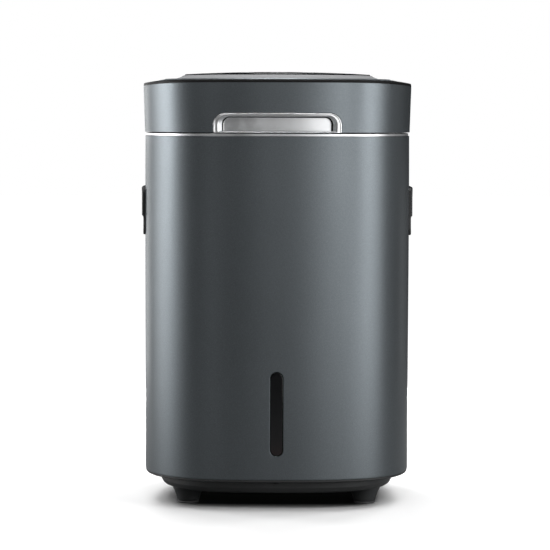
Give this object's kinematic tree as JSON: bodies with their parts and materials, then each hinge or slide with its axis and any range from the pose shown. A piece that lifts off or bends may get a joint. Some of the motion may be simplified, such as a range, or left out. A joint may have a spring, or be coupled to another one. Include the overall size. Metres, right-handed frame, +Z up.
{
  "type": "electric food waste composter",
  "caption": "Free-standing indoor food waste composter: squarish bin with a motor-swung lid, heated mixing tub, geared paddle mixer, blower and rear filter drawer.",
  "frame": {"origin": "floor level under the middle of the machine's box", "axes": "+Z up, front with the finger recess and the window towards -Y, +X to the right as seen from the front"},
  "size_m": [0.3056, 0.33, 0.479],
  "materials": {
    "graphite_paint": "satin metallic graphite paint",
    "satin_silver": "satin",
    "chrome": "polished",
    "black_plastic": "fine moulded texture",
    "gloss_black": "gloss",
    "panel_bezel": "satin silver paint",
    "rubber": "matte",
    "silicone": "matte silicone",
    "steel": "brushed",
    "stainless": "brushed",
    "zinc_screw": "zinc plated",
    "tub_coating": "dark non-stick coating",
    "nylon": "natural moulded nylon",
    "bronze": "sintered bronze",
    "board_green": "solder mask",
    "heater_film": "amber film",
    "carbon": "granular carbon in mesh",
    "grey_plastic": "fine moulded texture",
    "white_plastic": "moulded"
  },
  "bodies": {
    "chassis": {"outer_shell": "graphite_paint", "rim_trim": "satin_silver", "top_deck": "black_plastic", "base_tray": "black_plastic", "foot_front_left": "black_plastic", "foot_front_right": "black_plastic", "foot_rear_left": "black_plastic", "foot_rear_right": "black_plastic", "foot_pads": "rubber", "foot_screws": "zinc_screw", "base_screws": "zinc_screw", "grip_left": "black_plastic", "grip_right": "black_plastic", "sensor_window": "gloss_black", "sensor_board": "board_green", "tub": "tub_coating", "tub_heater": "heater_film", "cradle_left": "steel", "cradle_right": "steel", "bearing_left": "bronze", "bearing_right": "bronze", "shaft_seals": "silicone", "idler_axle": "steel", "gear_motor": "steel", "gear_plate": "steel", "blower_housing": "black_plastic", "air_collar": "silicone", "filter_bay": "black_plastic", "rear_panel": "black_plastic", "power_inlet": "black_plastic", "power_board": "board_green", "humidity_sensor": "white_plastic", "hinge_bracket_left": "steel", "hinge_bracket_right": "steel", "lid_motor": "steel"},
    "lid": {"lid_shell": "graphite_paint", "lid_rim_ring": "gloss_black", "lid_cover": "gloss_black", "panel_ring": "panel_bezel", "panel_glass": "gloss_black", "touch_board": "board_green", "lid_liner": "grey_plastic", "lid_gasket": "silicone", "grip_cup": "satin_silver", "grip_frame": "chrome", "lid_screws": "zinc_screw", "hinge_arm_left": "steel", "hinge_arm_right": "steel", "hinge_shaft": "stainless", "lid_sector": "nylon"},
    "lid_drive": {"lid_pinion": "nylon"},
    "mixer": {"mixer_shaft": "stainless", "mixer_paddles": "stainless", "main_gear": "nylon"},
    "idler": {"idler_gear": "nylon"},
    "pinion": {"motor_pinion": "steel"},
    "fan": {"blower_impeller": "black_plastic"},
    "drawer": {"filter_drawer": "grey_plastic", "carbon_pack": "carbon"},
    "switch": {"power_switch": "gloss_black"}
  },
  "joints": [
    {"name": "lid_hinge", "type": "hinge", "parent": "chassis", "child": "lid", "pos_m": [0, 0.146, 0.376], "axis": [-1, 0, 0], "range_deg": [0, 85]},
    {"name": "lid_drive_spin", "type": "hinge", "parent": "chassis", "child": "lid_drive", "pos_m": [0.04, 0.11288, 0.36394], "axis": [-1, 0, 0], "range_deg": [-185, 1]},
    {"name": "mixer_spin", "type": "hinge", "parent": "chassis", "child": "mixer", "pos_m": [0, -0.037, 0.172], "axis": [1, 0, 0], "continuous": true},
    {"name": "idler_spin", "type": "hinge", "parent": "chassis", "child": "idler", "pos_m": [-0.116, 0.02911, 0.09042], "axis": [1, 0, 0], "continuous": true},
    {"name": "pinion_spin", "type": "hinge", "parent": "chassis", "child": "pinion", "pos_m": [-0.116, 0.092, 0.08], "axis": [1, 0, 0], "continuous": true},
    {"name": "blower_spin", "type": "hinge", "parent": "chassis", "child": "fan", "pos_m": [0, 0.085, 0.316], "axis": [0, 1, 0], "continuous": true},
    {"name": "filter_slide", "type": "slide", "parent": "chassis", "child": "drawer", "axis": [0, 1, 0], "range_m": [0, 0.08]},
    {"name": "power_rocker", "type": "hinge", "parent": "chassis", "child": "switch", "pos_m": [0, 0.148, 0.078], "axis": [1, 0, 0], "range_deg": [-16, 0]}
  ],
  "couplings": [
    {"joint": "lid_drive_spin", "follows": "lid_hinge", "ratio": -2.1333},
    {"joint": "idler_spin", "follows": "mixer_spin", "ratio": -1.3333},
    {"joint": "pinion_spin", "follows": "mixer_spin", "ratio": 3.2}
  ]
}
